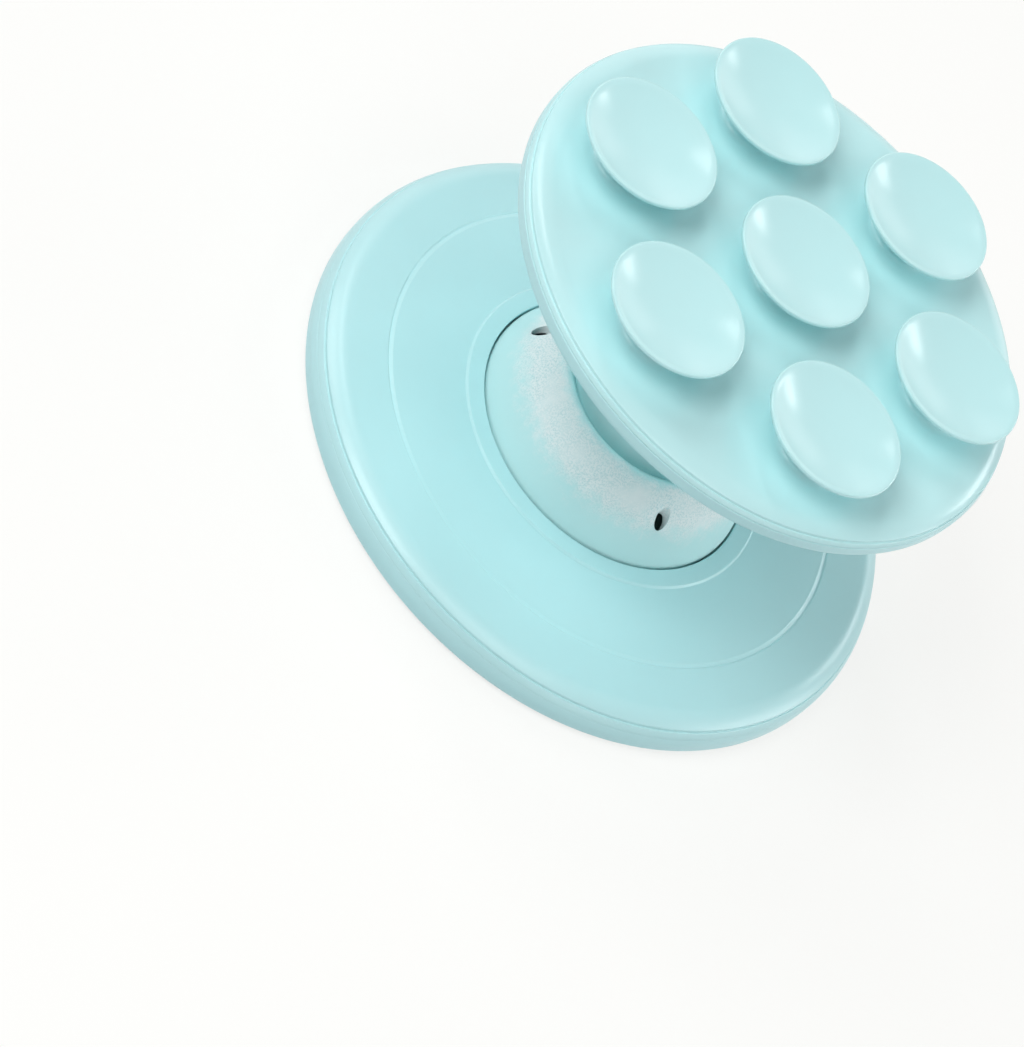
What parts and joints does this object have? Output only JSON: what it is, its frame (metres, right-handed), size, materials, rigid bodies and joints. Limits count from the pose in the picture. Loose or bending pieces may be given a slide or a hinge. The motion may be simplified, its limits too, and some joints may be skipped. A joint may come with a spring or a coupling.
{
  "type": "collapsible phone grip and suction cup mount",
  "caption": "Collapsible phone grip: round magnetic base, folding rubber bellows neck, and a round button with a pad of suction cups.",
  "frame": {"origin": "centre of the face that lies on the phone, on the axis", "axes": "+Z along the axis, away from the phone towards the suction cups; one outer suction cup lies on +X"},
  "size_m": [0.058, 0.058, 0.0334],
  "materials": {
    "mint_abs": "moulded ABS, satin",
    "mint_silicone": "moulded silicone, soft satin",
    "mint_tpe": "moulded thermoplastic elastomer with a frosted band",
    "white_acetal": "moulded acetal, natural white",
    "adhesive": "double-sided acrylic adhesive film",
    "steel_sheet": "stamped mild steel sheet",
    "nickel_plate": "nickel-plated sintered magnet"
  },
  "bodies": {
    "base": {"base_cover": "mint_abs", "base_plate": "mint_abs", "phone_pad": "mint_silicone", "shield_ring": "steel_sheet", "magnet_01": "nickel_plate", "magnet_02": "nickel_plate", "magnet_03": "nickel_plate", "magnet_04": "nickel_plate", "magnet_05": "nickel_plate", "magnet_06": "nickel_plate", "magnet_07": "nickel_plate", "magnet_08": "nickel_plate", "magnet_09": "nickel_plate", "magnet_10": "nickel_plate", "magnet_11": "nickel_plate", "magnet_12": "nickel_plate", "magnet_13": "nickel_plate", "magnet_14": "nickel_plate", "magnet_15": "nickel_plate", "magnet_16": "nickel_plate"},
    "grip": {"foot_ring": "white_acetal", "bellows": "mint_tpe"},
    "button": {"button_plate": "mint_abs", "hub_plug": "white_acetal", "pad_adhesive": "adhesive", "suction_pad": "mint_silicone"}
  },
  "joints": [
    {"name": "grip_spin", "type": "hinge", "parent": "base", "child": "grip", "pos_m": [0, 0, 0.0022], "axis": [0, 0, 1], "continuous": true},
    {"name": "grip_collapse", "type": "slide", "parent": "grip", "child": "button", "axis": [0, 0, 1], "range_m": [-0.0225, 0], "deforming": ["bellows"]}
  ]
}
